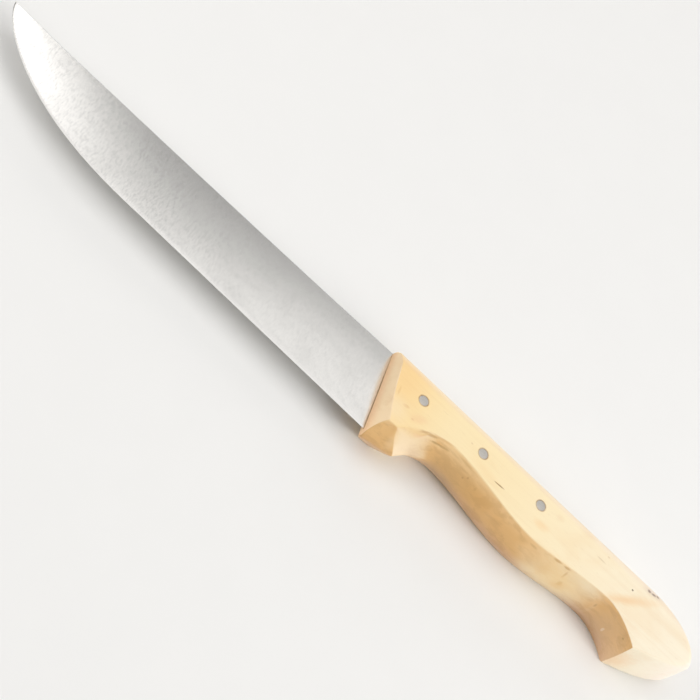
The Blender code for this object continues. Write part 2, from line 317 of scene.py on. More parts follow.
# Growth rings, 2.6 mm apart and nearly along the handle: stretch and turn of the wood, and the wave
ringStretch = ((0.06, 1, 0.55), (0.35, 0.03, 0.04))
ringWave = {"Scale": 0.9 / (2.6 * mm * 6.3), "Distortion": 7, "Detail": 2, "Detail Scale": 0.35,
            "Phase Offset": 1.7}
poreStretch = {"scale": (110, 170, 170), "shift": (0.37, 0.21, 0)}

# Between which values an effect sets in, and its strength at both unless that is 0 and 1
woodRanges = {
    "grip": (0.016, 0.046),  # places along the handle
    "butt": (0.05, 0.16),
    "guardEnd": (0.031, 0.036, 1, 0),
    "turnNeeded": (0.055, 0.085, 0.33, 0.02),
    "paleButt": (0.05, 0.12),
    "lowHalf": (2 * mm, 11 * mm, 1, 0),  # height
    "endCore": (1.5 * mm, 6.5 * mm),
    "guardTurn": (0.28, 0.42, 1, 0),  # how far a face turns to the butt
    "shadeTurn": (-0.05, 0.25, 1, 0),
    "litTurn": (0.3, 0.6, 0, 0.9),
    "shadeUnder": (-0.45, -0.15, 1, 0),  # or to the spine
    "paleUnder": (-0.2, 0.3, 1, 0.4),
    "back": (0.1, 0.6, 0, 0.55),
    "shadeSide": (0.4, 0.98, 1, 0.25),  # or sideways
    "rings": (0.45, 1),  # noise
    "wander": (0.3, 0.7),
    "fibres": (0.46, 0.8),
    "flecks": (0.63, 0.78),
    "mottle": (0.48, 0.78),
    "worn": (0.46, 0.62),
    "pore": (0.02, 0.09, 1, 0),
    "porous": (0.84, 0.92, 0, 0.3),
}

# Marks on this handle's wood, and painted light and shade, in millimetres: place, half sizes, colour, strength, soft
# edge, turn about Z
woodMarks = {
    "gouge": ((66.5, 0.54, 18), (2.5, 0.27, 0.6), (0.36, 0.21, 0.09), 0.8, 0.3, 3),
    "stainBand": ((128.5, 2.6, 18), (10.5, 1.6, 5), (0.92, 0.62, 0.33), 0.5, 0.8, 37),
    "stainCore": ((126.8, 1.2, 18), (5, 0.8, 3), (0.88, 0.56, 0.27), 0.22, 0.7, 37),
    "pinhole": ((128.3, 7.4, 18), (0.42, 0.36, 0.6), (0.24, 0.18, 0.12), 0.8, 0.3),
    "bevelFleck": ((18.8, 0.8, 18), (0.4, 1.6, 1), (0.8, 0.5, 0.2), 0.55, 0.6, 8),
    "frontSpot": ((23.8, -2.1, 18), (1.2, 0.6, 1), (0.78, 0.48, 0.19), 0.6, 0.6, 15),
    "frontDot": ((28.1, -4.5, 18), (0.6, 0.4, 0.6), (0.78, 0.5, 0.24), 0.5, 0.6),
    "frontBlotch": ((30, -2.6, 18), (3, 1.5, 2), (0.92, 0.6, 0.33), 0.42, 0.8, 35),
    "frontGlow": ((19, 6, 18), (7, 7, 3), (0.97, 0.65, 0.3), 0.42, 0.9),
    "cornerPale": ((20.5, -6, 18), (4.5, 4.5, 2), (0.98, 0.8, 0.54), 0.55, 0.9),
    "rearBlotch": ((87, 0.3, 18), (2.8, 1.5, 2), (0.95, 0.64, 0.32), 0.42, 0.8, 10),
    "rearStreak": ((91.7, 8.6, 18), (1.6, 1, 2), (0.9, 0.68, 0.42), 0.35, 0.8, 12),
    "thinStreak": ((112.7, 7.7, 18), (1.9, 0.3, 0.6), (0.62, 0.48, 0.28), 0.4, 0.6, -2),
    "tornGrain": ((41.6, -3.3, 16.1), (3.4, 0.5, 0.42), (0.46, 0.26, 0.09), 0.75, 0.5, 14),
    "tornEdge": ((34.2, -4.8, 17.7), (2.5, 0.35, 0.5), (0.72, 0.44, 0.22), 0.45, 0.6, 38),
    "tornArris": ((41, -1.7, 17.9), (4.6, 0.35, 0.5), (0.72, 0.44, 0.2), 0.5, 0.6, 14),
    "tornRidge": ((36.4, -3.8, 17.7), (3.2, 0.6, 0.55), (0.56, 0.33, 0.14), 0.65, 0.6, 22),
    # painted shade along the arris behind the finger groove, mottled like the grain; so are the next two
    "arrisShade": ((46.5, -2.6, 16.8), (4.5, 0.7, 0.45), (0.54, 0.32, 0.13), 0.6, 0.7),
    "arrisShadeRear": ((53.5, -2.2, 17.3), (4, 0.6, 0.4), (0.58, 0.35, 0.14), 0.5, 0.7, -8),
    "arrisShadeLow": ((52, -3.6, 15.6), (5, 0.8, 0.4), (0.58, 0.34, 0.14), 0.35, 0.7),
    "gripGrain": ((63.5, -4.4, 16.6), (4, 0.8, 0.4), (0.66, 0.4, 0.17), 0.22, 0.7, -8),
    "swellGrain": ((84.5, -8, 15.7), (1.6, 0.8, 0.9), (0.66, 0.4, 0.17), 0.45, 0.8),
    "bellyBand": ((70.5, -6.6, 12.5), (1.6, 1.6, 3), (0.88, 0.58, 0.29), 0.4, 0.9),
    "swellPatch": ((88, -8.4, 13), (3, 1.6, 2.2), (0.96, 0.72, 0.42), 0.4, 0.9),
    "swellShade": ((97.5, -7.9, 12), (2.2, 1.6, 3), (0.74, 0.46, 0.2), 0.35, 0.9),
    "lowWarm": ((60, 0.8, 18), (6, 1.8, 1.5), (0.95, 0.7, 0.38), 0.4, 0.9, -10),
    "scoopShade": ((37.6, -8.8, 9), (3.6, 2.4, 4.5), (0.7, 0.47, 0.27), 0.5, 0.9),
    "hookPale": ((129.5, -7, 9), (8, 5, 8), (0.88, 0.6, 0.35), 0.5, 0.9),
    "liftedGrain": ((33.5, -6.5, 15.8), (3, 0.7, 1), (0.96, 0.68, 0.44), 0.45, 0.7, 25),
    "crackLower": ((98.8, -5.7, 17.5), (1.5, 0.6, 0.36), (0.52, 0.28, 0.1), 0.7, 0.6, 8),
    "crackBend": ((103.2, -5.2, 17.3), (1.3, 0.6, 0.34), (0.52, 0.28, 0.1), 0.7, 0.6, 8),
    "crackUpper": ((104.5, -6, 15), (0.42, 0.8, 1.6), (0.54, 0.29, 0.11), 0.6, 0.7),
    "knot": ((106, -6.9, 10.6), (0.8, 0.8, 1.3), (0.48, 0.26, 0.09), 0.6, 0.6),
    "knotHalo": ((106.2, -6.9, 9), (2, 1.4, 2.4), (0.76, 0.47, 0.2), 0.5, 0.9),
    "swellFleck": ((89, -7.6, 16.5), (1.5, 0.6, 0.35), (0.56, 0.34, 0.15), 0.5, 0.6),
    "swellStain": ((95, -8, 14), (8, 3, 4), (0.88, 0.57, 0.26), 0.4, 0.9),
    "bellyStain": ((63, -6, 13.2), (8, 3, 3.2), (0.7, 0.4, 0.14), 0.5, 0.9),
    "bellyDotFront": ((55.3, -4.7, 13.8), (0.35, 0.6, 0.35), (0.46, 0.21, 0.08), 0.5, 0.5),
    "bellyDotRear": ((56.6, -4.2, 14.9), (0.35, 0.6, 0.35), (0.46, 0.21, 0.08), 0.45, 0.5),
    "bellyStroke": ((61, -5.2, 14.5), (0.4, 0.6, 0.9), (0.54, 0.28, 0.1), 0.35, 0.7),
    # painted shade in the finger groove
    "grooveShade": ((51, -4.8, 12), (9, 3, 5), (0.62, 0.4, 0.18), 0.4, 0.9),
    # painted light on the rear belly, which turns towards the butt
    "rearBellyLit": ((113.5, -3.8, 16.5), (6, 2.2, 3.2), (0.97, 0.84, 0.6), 0.6, 0.9),
    "rearWarm": ((106, -7, 11), (9.5, 3, 6.5), (0.93, 0.655, 0.31), 0.65, 0.9),
    # painted shade low in the finger groove, with some grime
    "grooveShadeAndGrime": ((49.5, -5.2, 5.5), (6.5, 3, 3.2), (0.5, 0.37, 0.26), 0.45, 0.9),
    "hookStain": ((122.5, -4.6, 14.8), (2.6, 1.6, 1.8), (0.74, 0.43, 0.17), 0.45, 0.9, -20),
    "hookStroke": ((120.9, -4.6, 12.4), (0.35, 0.6, 0.9), (0.5, 0.26, 0.1), 0.4, 0.7),
    "hookDot": ((134.7, -9.1, 14.9), (0.35, 0.35, 0.35), (0.42, 0.21, 0.08), 0.5, 0.6),
    "chip": ((129.6, -6.5, 7.7), (0.45, 0.9, 1.1), (0.98, 0.76, 0.56), 0.8, 0.3),
    "pitFront": ((134.4, 12.7, 17.6), (0.85, 0.75, 0.6), (0.25, 0.17, 0.14), 0.85, 0.4, 60),
    # painted highlight on a pit's edge
    "pitGlint": ((135.5, 13.9, 17.1), (0.7, 0.55, 0.6), (0.99, 0.94, 0.88), 1, 0.4, 30),
    "pitMiddle": ((136.6, 12.9, 17.5), (1.05, 0.5, 0.6), (0.22, 0.16, 0.13), 0.9, 0.4, 20),
    # painted highlight on a pit's edge
    "pitGlintRear": ((137.5, 14.6, 16.7), (0.65, 0.5, 0.6), (0.99, 0.94, 0.88), 1, 0.4),
    "pitRear": ((138.5, 13.8, 17.1), (0.7, 0.65, 0.6), (0.26, 0.19, 0.15), 0.85, 0.4, 40),
    "pitStain": ((136.2, 13.3, 17.3), (3.8, 1.7, 1.6), (0.74, 0.6, 0.5), 0.5, 0.8, 18),
    "guardFootPale": ((23, -14.7, 3), (8, 3, 4), (0.84, 0.62, 0.45), 0.55, 0.9),
    "guardEdgePale": ((28, -13.9, 13), (1.6, 1.8, 4.5), (0.93, 0.68, 0.38), 0.45, 0.8),
    "facetWarm": ((139, -12.2, 6), (5.5, 4, 6.5), (0.94, 0.64, 0.38), 0.62, 0.9),
}


def makeWood(name, endGrain=False):
    material, shader, where = newMaterial(name)
    along, _, height = axes(where)
    facingX, facingY, facingZ = axes(source(shader, "TexCoord")["Normal"])

    def within(value, name):
        return ramp(value, *woodRanges[name])

    def noiseOf(name):
        return noiseAt(where, *woodNoise[name])

    colour = paint(within(along, "grip"), woodLook["frontColour"], woodLook["gripColour"])
    colour = paint(within(along, "butt"), colour, woodLook["buttColour"])
    # painted shade on the underside, pinker low down; painted light on faces that turn to the butt, and a pinkish
    # tint of light on the spine
    turned = maths("SUBTRACT", facingX, within(along, "turnNeeded"))
    guard = times(within(along, "guardEnd"), within(facingX, "guardTurn"))
    shadedUnder = maths("MAXIMUM", guard, within(turned, "shadeTurn"))
    shadedUnder = times(shadedUnder, within(facingY, "shadeUnder"))
    shadedUnder = times(shadedUnder, within(maths("ABSOLUTE", facingZ), "shadeSide"))
    undersideShade = paint(within(height, "lowHalf"), woodLook["undersideShadeColour"], woodLook["lowerShadeColour"])
    colour = paint(shadedUnder, colour, undersideShade)
    litWood = paint(within(along, "paleButt"), woodLook["scoopLitColour"], woodLook["buttLitColour"])
    colour = paint(within(facingX, "litTurn"), colour, litWood, within(facingY, "paleUnder"))
    colour = paint(within(facingY, "back"), colour, woodLook["spineLitColour"])
    if endGrain:
        # painted shade: the end grain is deeper next to the blade, where it turns from the light
        core = maths("ABSOLUTE", maths("SUBTRACT", height, midZ))
        ends = paint(within(core, "endCore"), woodLook["endCoreShadeColour"], woodLook["endColour"])
        colour = paint(woodLook["end"], colour, ends)

    # growth rings that wander a little, fibres and flecks along the grain, blotches, worn patches within the shaded
    # underside
    rings = node("TexWave", {"Vector": stretch(where, *ringStretch), **ringWave}, bands_direction="Y")
    rings = times(within(rings.outputs["Fac"], "rings"), within(noiseOf("wander"), "wander"))
    fibres = noiseOf("fibres")
    flecks = within(noiseOf("flecks"), "flecks")
    worn = times(within(noiseOf("worn"), "worn"), shadedUnder)
    for mask, layer in ((rings, "ring"), (within(fibres, "fibres"), "streak"), (flecks, "fleck"),
                        (within(noiseOf("mottle"), "mottle"), "blotch"), (worn, "worn")):
        colour = paint(mask, colour, *woodLook[layer])

    # tiny dark pores, far apart
    cells = node("TexVoronoi", {"Vector": stretch(where, **poreStretch), "Scale": 1.0}).outputs
    porous = within(node("SeparateColor", {0: cells["Color"]}).outputs[0], "porous")
    colour = paint(within(cells["Distance"], "pore"), colour, woodLook["fleck"][0], porous)

    if not endGrain:
        ragged = noiseOf("ragged")
        for centre, size, markColour, strength, *rest in woodMarks.values():
            colour = paint(spot(where, ragged, centre, size, *rest), colour, markColour, strength)
        near, far, strength = woodLook["rim"]
        for pin in rivets.values():  # painted shade: a darker brown rim where the wood meets each rivet
            flat = vectorMaths("SUBTRACT", where, tuple(place(pin["x"], -pin["drop"], midZ)))
            reach = vectorMaths("LENGTH", stretch(flat, (1, 1, 0)))
            rim = ramp(reach, pin["radius"] * near, pin["radius"] * far, strength, 0.0)
            colour = paint(rim, colour, woodLook["rimShadeColour"], ragged)

    rough = maths("MULTIPLY_ADD", fibres, woodLook["fibreRoughness"], woodLook["roughness"])
    height = maths("MULTIPLY_ADD", fibres, woodLook["fibreHeight"], times(flecks, woodLook["fleckHeight"]))
    surface(shader, woodLook, colour, rough, height, **{"Specular IOR Level": woodLook["specular"]})
    return material


# Steel

steelLook = {
    "colour": (0.805, 0.795, 0.77),
    "shade": (0.69, 0.681, 0.659),  # clouds
    "cloud": 0.45,
    "cloudRange": (0.35, 0.75),
    "strokeShade": (0.6, 0.592, 0.574),  # short grinding strokes that run from spine to edge
    "strokeRange": (0.46, 0.68),
    "strokePlaces": (-0.085, -0.03, 0.41, 0.15),  # their strength changes along the blade, tip to heel
    "patchRange": (0.2, 0.52),
    "roughness": 0.14,
    "strokeRoughness": 0.04,
    "cloudRoughness": 0.08,
    "hairHeight": 0.6,
    "strokeHeight": 0.45,
    "bump": 0.1,
    "bumpHeight": 0.02 * mm,
}

# Noise, as for the wood
steelNoise = {
    "clouds": ((42, 60, 60), 4, 0.6, 0.2, 0.8),
    "strokes": ((1700, 560, 560), 2, 0.5, 0.1),
    "patches": ((90, 110, 110), 2),
    "hair": ((9000, 380, 380), 2, 0.5, 0.04),
}


def makeSteel():
    material, shader, where = newMaterial("satinSteel")
    clouds, strokes, patches, hair = (noiseAt(where, *values) for values in steelNoise.values())
    clouded = ramp(clouds, *steelLook["cloudRange"])
    colour = paint(clouded, steelLook["colour"], steelLook["shade"], steelLook["cloud"])
    share = times(ramp(axes(where)["X"], *steelLook["strokePlaces"]), ramp(patches, *steelLook["patchRange"]))
    colour = paint(ramp(strokes, *steelLook["strokeRange"]), colour, steelLook["strokeShade"], share)
    rough = maths("MULTIPLY_ADD", strokes, steelLook["strokeRoughness"], steelLook["roughness"])
    rough = maths("MULTIPLY_ADD", clouds, steelLook["cloudRoughness"], rough)
    ground = times(times(strokes, share), steelLook["strokeHeight"])
    height = maths("MULTIPLY_ADD", hair, steelLook["hairHeight"], ground)
    surface(shader, steelLook, colour, rough, height, Metallic=1.0)
    return material


# Aluminium pins

pinLook = {
    "colour": (0.765, 0.73, 0.68),
    "shade": (0.61, 0.58, 0.54),
    "scratches": ((500, 7000, 500), 3, 0.6, 0.5),  # noise
    "scratchRange": (0.4, 0.7, 0, 0.6),
    "dull": ((900, 900, 900), 3),
    "dullRange": (0.5, 0.8, 0, 0.5),
    "roughness": 0.32,
    "scratchRoughness": 0.2,
    "bump": 0.3,
    "bumpHeight": 0.02 * mm,
}


def makeAluminium():
    material, shader, where = newMaterial("sandedAluminium")
    scratches, dull = (noiseAt(where, *pinLook[name]) for name in ("scratches", "dull"))
    colour = paint(ramp(scratches, *pinLook["scratchRange"]), pinLook["colour"], pinLook["shade"])
    colour = paint(ramp(dull, *pinLook["dullRange"]), colour, pinLook["shade"])
    rough = maths("MULTIPLY_ADD", scratches, pinLook["scratchRoughness"], pinLook["roughness"])
    surface(shader, pinLook, colour, rough, scratches, Metallic=1.0)
    return material


boxwood = makeWood("boxwood")
endGrain = makeWood("boxwoodEndGrain", endGrain=True)
steel = makeSteel()
aluminium = makeAluminium()
print("materials: boxwood, end grain, satin steel, sanded aluminium")


# Blade and tang

bladeShape = {
    "heelGap": 0.15 * mm,  # between the blade's rear edge and the handle
    "neckLength": 0.9 * mm,  # how far the ground blade runs into the saw cut
    "tangStart": 0.6 * mm,  # where the full stock starts, inside the cut
    "edgeRise": 1.4 * mm,
    "sweepLength": 75.5 * mm,
    "spineDip": 1.3 * mm,
    "tipRise": 0.9 * mm,
    "tipRiseLength": 26 * mm,
    "tipThickness": 1.1 * mm,
    "edgeThickness": 0.3 * mm,
    "edgeFlat": 0.06 * mm,
    "sharpenedWidth": 0.8 * mm,
    "sweepStartPower": 2.4,
    "sweepEndPower": 0.68,
    "convex": 0.11 * mm,  # belly of the grind, each side
    "pointHeight": 14 * mm,  # below this height the blade thins towards its point
    "pointThinning": 0.8,
    "spineEase": 0.1 * mm,
    "tangBelowRivets": 4.7 * mm,
    "tangCorner": 5 * mm,
    "rows": 30,
    "stations": 170,
    "edgeOfSpine": 0.5,  # the edge and the eased corner keep to this share of the spine's half thickness
    "easeOfHeight": 0.08,  # and both trims keep to these shares of the blade's height
    "sharpenedOfHeight": 0.24,
    "rollover": 0.45,
    "easeSteps": 4,
    "sharpenedSteps": 5,
    "cornerSteps": 12,  # round the tang's lower corner
    "sunk": 0.01 * mm,  # how far neck and tang sink into each other
    "crease": 24,
}


def addSection(bm, rows):  # closed ring from a section's upper half, given as x, y and half thickness
    upper = [bm.verts.new(place(x, y, midZ + thick)) for x, y, thick in rows]
    lower = [bm.verts.new(place(x, y, midZ - thick)) for x, y, thick in rows]
    return upper + lower[::-1]


def tangDrop(x):
    front, rear = rivets["rivet_front"], rivets["rivet_rear"]
    slope = (rear["drop"] - front["drop"]) / (rear["x"] - front["x"])
    return front["drop"] + slope * (x - front["x"]) + bladeShape["tangBelowRivets"]


def tangOutline(grow, startX, above):
    # round the tang from its top front corner; grow widens it into the saw cut
    endX = tangEnd + grow
    corner = bladeShape["tangCorner"] + grow
    centre = Vector((endX - corner, -tangDrop(tangEnd) - grow + corner))
    points = [(startX, above), (endX, above)]
    for turn in quarterTurn(bladeShape["cornerSteps"]):
        points.append((centre.x + corner * math.cos(turn), centre.y - corner * math.sin(turn)))
    lowX = startX if above > 0 else handleShape["frontLean"] * tangDrop(0) + startX
    points.append((lowX, -tangDrop(lowX) - grow))
    return points


def prism(bm, outline, reach):  # from reach below the middle to reach above it
    bottom, top = ([bm.verts.new(place(x, y, z)) for x, y in outline] for z in (midZ - reach, midZ + reach))
    bm.faces.new(bottom)
    bm.faces.new(top[::-1])
    for corners in zip(bottom, top, shifted(top), shifted(bottom)):
        bm.faces.new(corners)


def heelSection(bm, start, end, grow):
    # the blade's rear section, grown by a share of its drop, and drawn out along the handle
    section = [(p, t + grow(-p.y)) for p, t in bladeProfile(0)]
    rings = [addSection(bm, [(p.x + shift, p.y - abs(grow(-p.y)), t) for p, t in section])
             for shift in (start, end)]
    bridge(bm, *rings)
    for ring in rings:
        bm.faces.new(ring)


def spineDrop(share):
    riseStart = 1 - bladeShape["tipRiseLength"] / bladeLength
    rise = max(0.0, (share - riseStart) / (1 - riseStart))
    return bladeShape["spineDip"] * (1 - (1 - share) ** 3) - bladeShape["tipRise"] * rise ** 2


def edgeDrop(x, heelX):
    sweepX = bladeShape["sweepLength"] - bladeLength
    sweepDrop = bladeHeight - bladeShape["edgeRise"]
    if x > sweepX:
        return bladeHeight - bladeShape["edgeRise"] * (heelX - x) / (heelX - sweepX)
    share = min(1.0, (sweepX - x) / bladeShape["sweepLength"])
    lift = 1 - (1 - share ** bladeShape["sweepStartPower"]) ** bladeShape["sweepEndPower"]
    return sweepDrop + (spineDrop(1) - sweepDrop) * lift


def bladeProfile(share):
    # one station: corners of its upper half as (point, half thickness), spine to edge
    gap = bladeShape["heelGap"]
    heelX = handleShape["frontLean"] * bladeHeight - gap
    spineX = -gap + share * (gap - bladeLength)
    edgeX = heelX + share * (-bladeLength - heelX)
    spine = Vector((spineX, -spineDrop(share)))
    edge = Vector((edgeX, -edgeDrop(edgeX, heelX)))
    height = (spine - edge).length
    slim = 1 - bladeShape["pointThinning"] * (1 - min(1.0, height / bladeShape["pointHeight"])) ** 2
    halfSpine = lerp(halfStock, bladeShape["tipThickness"] / 2, share) * slim
    most = halfSpine * bladeShape["edgeOfSpine"]
    halfEdge = min(bladeShape["edgeThickness"] / 2, most)
    ease = min(bladeShape["spineEase"], height * bladeShape["easeOfHeight"], most)
    bevel = 1 - min(bladeShape["sharpenedWidth"] / height, bladeShape["sharpenedOfHeight"])
    first = ease / height

    def thickness(row):
        q = (row - first) / (bevel - first)
        flat = lerp(halfSpine, halfEdge, q)
        flat += bladeShape["convex"] * 4 * q * (1 - q) * min(1.0, height / bladeHeight)
        if q > 1:  # sharpened edge, rolled over softly
            past = (row - bevel) / (1 - bevel)
            past = lerp(past, past ** 2, bladeShape["rollover"])
            flat = lerp(halfEdge, min(halfEdge, bladeShape["edgeFlat"] / 2), past)
        return flat

    rows = [(spine.lerp(edge, first * (1 - math.cos(turn))), halfSpine - ease * (1 - math.sin(turn)))
            for turn in quarterTurn(bladeShape["easeSteps"])]  # eased corner of the spine
    # the next row stays close to the corner, so that the shading is flat
    places = [lerp(first * 1.5, bevel, step / bladeShape["rows"]) for step in range(bladeShape["rows"] + 1)]
    steps = bladeShape["sharpenedSteps"]
    places += [lerp(bevel, 1, step / steps) for step in range(1, steps + 1)]
    return rows + [(spine.lerp(edge, row), thickness(row)) for row in places]


def makeBlade():
    bm = bmesh.new()
    loops = []
    for step in range(bladeShape["stations"]):  # closer together towards the tip
        rows = bladeProfile(1 - (1 - step / bladeShape["stations"]) ** 2)
        loops.append(addSection(bm, [(p.x, p.y, t) for p, t in rows]))
    bridgeAll(bm, loops)
    fan(bm, loops[-1], bm.verts.new(place(-bladeLength, -spineDrop(1), midZ)))
    bm.faces.new(loops[0])
    crease, gap, sunk = bladeShape["crease"], bladeShape["heelGap"], bladeShape["sunk"]
    piece = addPiece("bladeSteel", bm, (steel,), crease)
    # neck: the blade's section runs on a little into the handle's saw cut, where the full stock takes over
    joint = bmesh.new()
    heelSection(joint, -2 * gap, gap + bladeShape["neckLength"], lambda drop: -sunk)
    carve(piece, joint, (steel,), "UNION", crease)
    joint = bmesh.new()
    prism(joint, tangOutline(0, bladeShape["tangStart"], -2 * sunk), halfStock - sunk)
    carve(piece, joint, (steel,), "UNION", crease)
    cutHoles(piece, -2 * mm, crease)
    return piece


# Handle

handleShape = {
    "frontLean": 6.6 / 32.4,  # how far the front leans back for each unit of drop
    "spineRounding": 7.5 * mm,
    "bevelTop": 1.6 * mm,  # how far the front face falls back at the sides, at the spine
    "bevelFoot": 4.2 * mm,
    "guardSideLift": 6.2 * mm,
    "guardFootRise": 2.7 * mm,
    "guardLength": 13 * mm,
    "guardSideLength": 3 * mm,
    "keelPower": 1.3,
    "scoopRounding": 3 * mm,
    "scoopRoundingLength": 11 * mm,
    "scoopSidePower": 0.7,
    "grooveBehindGuard": 21 * mm,
    "grooveHeight": 18.3 * mm,
    "grooveCrown": 4.9 * mm,
    "swellPlace": 0.55,
    "swellHeight": 24.4 * mm,
    "swellCrown": 3.5 * mm,
    "rearGrooveHeight": 20.7 * mm,
    "rearGrooveCrown": 2.1 * mm,
    "hookDrop": 29.3 * mm,
    "hookCrown": 0.6 * mm,
    "hookLength": 17.5 * mm,
    "hookFromButt": 24.2 * mm,
    "hookRounding": 0.7 * mm,
    "hookFace": (10.8 * mm, 3.6 * mm),
    "buttBelowSpine": 15.8 * mm,
    "buttHeel": 5.2 * mm,
    "buttShoulder": 25.5 * mm,
    "ellipseArm": 0.56,
    "arris": 0.32 * mm,  # eased edges round the side faces
    "cornerEase": 0.45 * mm,  # eased corners of the outline
    "hookEase": 0.35 * mm,
    "cornerFall": 1.4,  # how much the arris adds to the ease of the guard's foot
    "fadeIn": 12,  # points over which the arris sets in at the front
    "fadeOut": 14,  # and ends behind the hook
    "flatSteps": 3,
    "roundSteps": 26,
    "endGrainMargin": 2,
    "wave": 0.05 * mm,  # hand-sanded unevenness
    "waveLength": 14 * mm,
    "waveSpread": 0.6,  # and it is drawn out along the handle
    "bendStep": 0.5 * mm,  # shortest steps kept where the inset line bends tightly
    "cornerStep": 0.12 * mm,
    "relaxing": 20,  # rounds that even out the points of the side faces
    "relaxFrom": 0.62,  # in the part from here to the butt
    "slotGap": 0.08 * mm,
    "kerfGap": 0.3 * mm,  # loose fit round the blade's heel, low down
    "kerfRun": 12 * mm,
    "holeGap": 0.05 * mm,
}
hookX = handleLength - handleShape["hookFromButt"]


def crown(across):
    return (across / half) ** 2


def keel(across):
    return abs(across / half) ** handleShape["keelPower"]


def rounded(across, radius):
    past = max(0.0, abs(across) - (half - radius))
    return radius - math.sqrt(max(0.0, radius ** 2 - past ** 2))


def frontPoint(share, across):
    topDrop = rounded(across, handleShape["spineRounding"])
    footDrop = guardDrop - handleShape["guardSideLift"] * keel(across)
    drop = lerp(topDrop, footDrop, share)
    bevel = lerp(handleShape["bevelTop"], handleShape["bevelFoot"], share ** 2)
    return Vector((handleShape["frontLean"] * drop + bevel * crown(across), -drop))


def guardPoint(share, across):
    start = frontPoint(1, across)
    length = lerp(handleShape["guardLength"], handleShape["guardSideLength"], keel(across))
    return start + share * Vector((length, handleShape["guardFootRise"] * (1 - keel(across))))


def grooveX():
    return guardPoint(1, half).x + handleShape["grooveBehindGuard"]


def scoopPoint(share, across):
    start = guardPoint(1, across)
    grooveY = -handleShape["grooveHeight"] - handleShape["grooveCrown"] * (1 - crown(across))
    rise = lerp(1 - (1 - share) ** 2, smoothStep(share) ** handleShape["scoopSidePower"], crown(across))
    along = min(1.0, share * handleShape["grooveBehindGuard"] / handleShape["scoopRoundingLength"])
    softened = rounded(across, handleShape["scoopRounding"] * 4 * along * (1 - along))
    return Vector((lerp(start.x, grooveX(), share), lerp(start.y, grooveY, rise) + softened))


def bellyPoint(start, end, share, across):
    height, bulge = (lerp(start[k], end[k], smoothStep(share)) for k in (1, 2))
    return Vector((lerp(start[0], end[0], share), -height - bulge * (1 - crown(across))))


def hookPoint(share, across):
    height = lerp(handleShape["rearGrooveHeight"], handleShape["hookDrop"], share ** 2)
    bulge = lerp(handleShape["rearGrooveCrown"], handleShape["hookCrown"], share)
    return Vector((hookX - handleShape["hookLength"] * (1 - share), -height - bulge * (1 - crown(across))))


def bezier(a, b, c, d, share):
    back = 1 - share
    return a * back ** 3 + b * 3 * back ** 2 * share + c * 3 * back * share ** 2 + d * share ** 3


def buttCentre(share):
    hook = Vector((hookX, -handleShape["hookDrop"] - handleShape["hookCrown"]))
    rear = Vector((handleLength, -handleShape["buttBelowSpine"]))
    shoulder = Vector((handleLength - handleShape["buttShoulder"], 0))
    if share < 0.5:
        heel = Vector((0, handleShape["buttHeel"]))
        return bezier(hook, hook + Vector(handleShape["hookFace"]), rear - heel, rear, share * 2)
    rise = Vector((0, handleShape["buttBelowSpine"] * handleShape["ellipseArm"]))
    run = Vector((handleShape["buttShoulder"] * handleShape["ellipseArm"], 0))
    return bezier(rear, rear + rise, shoulder + run, shoulder, share * 2 - 1)


def buttPoint(share, across):
    step = 0.002
    along = (buttCentre(min(1.0, share + step)) - buttCentre(max(0.0, share - step))).normalized()
    radius = lerp(handleShape["hookRounding"], handleShape["spineRounding"], smoothStep(share))
    lift = Vector((0, handleShape["hookCrown"] * crown(across) * (1 - share)))
    return buttCentre(share) + lift + Vector((-along.y, along.x)) * rounded(across, radius)


def spinePoint(share, across):
    return buttPoint(1, across).lerp(frontPoint(0, across), share)


def handleStretches():
    # round the outline: steps, their spacing, curve; front and lower butt match, as do underside and spine
    groove = (grooveX(), handleShape["grooveHeight"], handleShape["grooveCrown"])
    rearX = hookX - handleShape["hookLength"]
    swellX = lerp(groove[0], rearX, handleShape["swellPlace"])
    swell = (swellX, handleShape["swellHeight"], handleShape["swellCrown"])
    rear = (rearX, handleShape["rearGrooveHeight"], handleShape["rearGrooveCrown"])
    return (
        ("front", 48, slowEnds, frontPoint),
        ("guard", 20, slowEnds, guardPoint),
        ("scoop", 40, slowStart, scoopPoint),
        ("bellyFront", 68, even, lambda share, across: bellyPoint(groove, swell, share, across)),
        ("bellyRear", 56, even, lambda share, across: bellyPoint(swell, rear, share, across)),
        ("hook", 36, slowEnd, hookPoint),
        ("buttLow", 48, slowStart, lambda share, across: buttPoint(share / 2, across)),
        ("buttHigh", 56, even, lambda share, across: buttPoint(0.5 + share / 2, across)),
        ("spine", 164, slowEnd, spinePoint),
    )


def easeCorner(points, corner, radius):
    # the points within radius of a corner move onto a small round through it
    count = len(points)

    def walk(step):
        found, reach, at = [], 0.0, corner
        while True:
            nearer, further = points[at % count], points[(at + step) % count]
            length = (further - nearer).length
            if reach + length >= radius:
                return found, nearer.lerp(further, (radius - reach) / length)
            reach += length
            at += step
            found.append((at % count, reach))

    before, start = walk(-1)
    after, end = walk(1)
    tip = points[corner].copy()
    for at, reach in [(a, -r) for a, r in before] + [(corner, 0.0)] + after:
        share = 0.5 + 0.5 * reach / radius
        points[at] = start * (1 - share) ** 2 + tip * 2 * share * (1 - share) + end * share ** 2


def untangle(points, middle, first, last, step):
    # where a tight bend makes the inset line run backwards, its points share one short step instead
    def onward(a, b):
        return (points[b] - points[a]).dot((middle[b] - middle[a]).normalized())

    back = [i for i in range(first, last) if onward(i, i + 1) < 0]
    if back:
        a, b = back[0], back[-1] + 1
        while onward(a, b) < step:
            a, b = a - 1, b + 1
        for i in range(a + 1, b):
            points[i] = points[a].lerp(points[b], (i - a) / (b - a))


